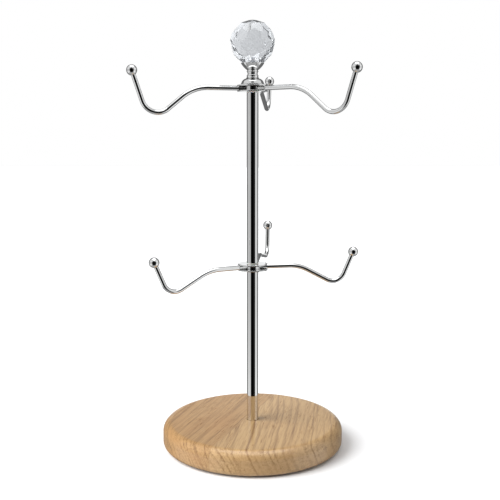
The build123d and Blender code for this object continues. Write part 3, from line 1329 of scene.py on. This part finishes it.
@dataclass(frozen=True)
class Studio:
    """White room with softboxes: what the chrome mirrors and what lights the wood."""

    floor_size: float = 12.0
    key_energy: float = 3.9
    key_spread: float = 54.0
    key_lean: float = 50.0
    key_heading: float = 194.0
    ceiling_glint: float = 2.5
    dim_level: float = 0.17
    under_level: float = 0.46

    def world(self) -> None:
        """Light by direction, with 0 degrees of azimuth towards the front.

        The front is dark where the camera stands, with a softbox on each side that is brighter
        above and below, a white wall behind and a bright ceiling. A dim ring just in front of
        that wall gives the chrome its dark edges. Seen by the camera it is plain white.
        """
        world = bpy.data.worlds.new("studio")
        bpy.context.scene.world = world
        tree = NodeTree(world)
        direction = tree.add("TexCoord", output="Generated")
        x, y, z = tree.parts(direction)
        degree = 180.0 / math.pi
        azimuth = tree.math("ARCTAN2", x, y * -1.0) * degree
        elevation = tree.math("ARCSINE", z) * degree
        mirrored = tree.add("LightPath", output="Is Glossy Ray")
        through = tree.add("LightPath", output="Is Transmission Ray")
        seen = tree.add("LightPath", output="Is Camera Ray")
        level = self._banks(tree, azimuth, elevation)
        stand = tree.window(azimuth, -15.0, 15.0, 4.0) * tree.window(elevation, -60.0, 52.0, 5.0)
        level = level * (1.0 - stand * 0.93)
        overhead = tree.smooth_step(elevation, 60.0, 70.0)
        level = level + (1.0 + mirrored * self.ceiling_glint - level) * overhead
        dim_ring = tree.window(y, 0.42, 0.94, 0.03) * mirrored
        level = level + (self.dim_level - level) * dim_ring
        under = tree.smooth_step(elevation * -1.0, 46.0, 62.0)
        level = level + (self.under_level - level) * under
        behind = tree.smooth_step(y, 0.93, 0.975)
        level = level + (1.0 - level) * behind
        level = level + (self._seen_through(tree, y, z) - level) * through
        level = level + (1.0 - level) * seen
        tone = tree.mix(seen, colour(0.985, 0.993, 1.0), colour(1.0, 1.0, 1.0))
        shader = tree.add("Background", None, {"Color": tone, "Strength": level})
        tree.add("OutputWorld", None, {"Surface": shader})

    @staticmethod
    def _banks(tree: NodeTree, azimuth: Signal, elevation: Signal) -> Signal:
        """Softboxes to the left and right, the dark front, and the light past their ends.

        Args:
            tree: The tree that is being written.
            azimuth: Degrees from the front, positive to the right.
            elevation: Degrees above level.

        Returns:
            The level of light.
        """
        left = tree.window(azimuth, -112.0, -38.0, 4.0)
        right = tree.window(azimuth, 52.0, 106.0, 4.0)
        front = tree.window(azimuth, -38.0, 52.0, 4.0)
        rim = 1.0 - tree.smooth_step(azimuth, -116.0, -108.0)
        level = 0.20 + left * 0.42 + right * 0.60 - front * 0.188 - rim * 0.11
        slant = 1.0 - tree.window(elevation, -16.0, 16.0, 6.0)
        level = level + (left * 0.32 + right * 0.25) * slant
        bank = tree.window(elevation, -46.0, 33.0, 6.0)
        upper = tree.smooth_step(elevation, 0.0, 10.0)
        return level * bank + (1.0 - bank) * (upper * 0.40 + 0.42)

    @staticmethod
    def _seen_through(tree: NodeTree, away: Signal, up: Signal) -> Signal:
        """Room as the crystal gathers it: a pale grey wall behind, white round it."""
        wall = tree.smooth_step(away, 0.70, 0.76)
        low = tree.smooth_step(up * -1.0, 0.62, 0.75)
        return 1.12 - wall * 0.54 - low * 0.16

    def floor(self) -> None:
        """Plain pale floor that the object stands on."""
        half = self.floor_size / 2.0
        corners = [(-half, -half, 0.0), (half, -half, 0.0), (half, half, 0.0), (-half, half, 0.0)]
        mesh = bpy.data.meshes.new("floor")
        mesh.from_pydata(corners, [], [(0, 1, 2, 3)])
        made = bpy.data.objects.new("floor", mesh)
        bpy.context.scene.collection.objects.link(made)
        made.visible_glossy = False
        made.visible_transmission = False
        material = bpy.data.materials.new("pale_floor")
        tree = NodeTree(material)
        cloud = tree.noise(tree.place(), (60.0, 60.0, 60.0))
        tone = tree.mix(cloud, colour(0.88, 0.88, 0.88), colour(0.90, 0.90, 0.91))
        tree.surface(Base_Color=tone, Roughness=0.9, Specular_IOR_Level=0.1)
        mesh.materials.append(material)

    def lights(self) -> None:
        """Broad soft key from the upper left, too far away to fall off over the floor."""
        data = bpy.data.lights.new("key", "SUN")
        data.energy = self.key_energy
        data.angle = math.radians(self.key_spread)
        made = bpy.data.objects.new("key", data)
        lean, turn = math.radians(self.key_lean), math.radians(self.key_heading)
        flat = math.sin(lean)
        towards = Vector((math.cos(turn) * flat, math.sin(turn) * flat, math.cos(lean)))
        made.rotation_euler = towards.to_track_quat("Z", "Y").to_euler()
        made.visible_glossy = False
        made.visible_transmission = False
        bpy.context.scene.collection.objects.link(made)

    def build(self) -> None:
        """Makes the room, the floor and the light."""
        bpy.context.scene.view_settings.view_transform = "Standard"
        self.world()
        self.floor()
        self.lights()


# ---- assembly ----------------------------------------------------------------------------


def main() -> None:
    """Builds every assembly in order."""
    logging.basicConfig(level=logging.INFO, format="%(name)s %(message)s")
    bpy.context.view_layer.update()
    Camera().build()
    shop = Workshop()
    WoodenBase().build(shop)
    TieRod().build(shop)
    Pole().build(shop)
    lower_side = WireBend(41.5, 78.2, -19.6, 91.2, 10.4, 38.0, 11.2)
    lower_rear = WireBend(36.6, 80.2, -19.6, 89.9, 8.5, 21.5, 11.5)
    lower_arms = (
        WireArm("rear", 80.2, lower_rear, lift=14.2),
        WireArm("left", 209.0, lower_side),
        WireArm("right", 12.2, lower_side),
    )
    Tier("lower", lower_arms).build(shop)
    upper_side = WireBend(51.5, 88.5, -29.8, 102.5, 12.5, 35.0, 13.5)
    upper_rear = WireBend(46.5, 91.0, -19.5, 99.0, 11.8, 23.0, 12.5)
    upper_arms = (
        WireArm("rear", 80.6, upper_rear),
        WireArm("left", 200.6, upper_side),
        WireArm("right", 320.6, upper_side),
    )
    Tier("upper", upper_arms).build(shop)
    Finial().build(shop)
    Studio().build()


if __name__ == "__main__":
    main()
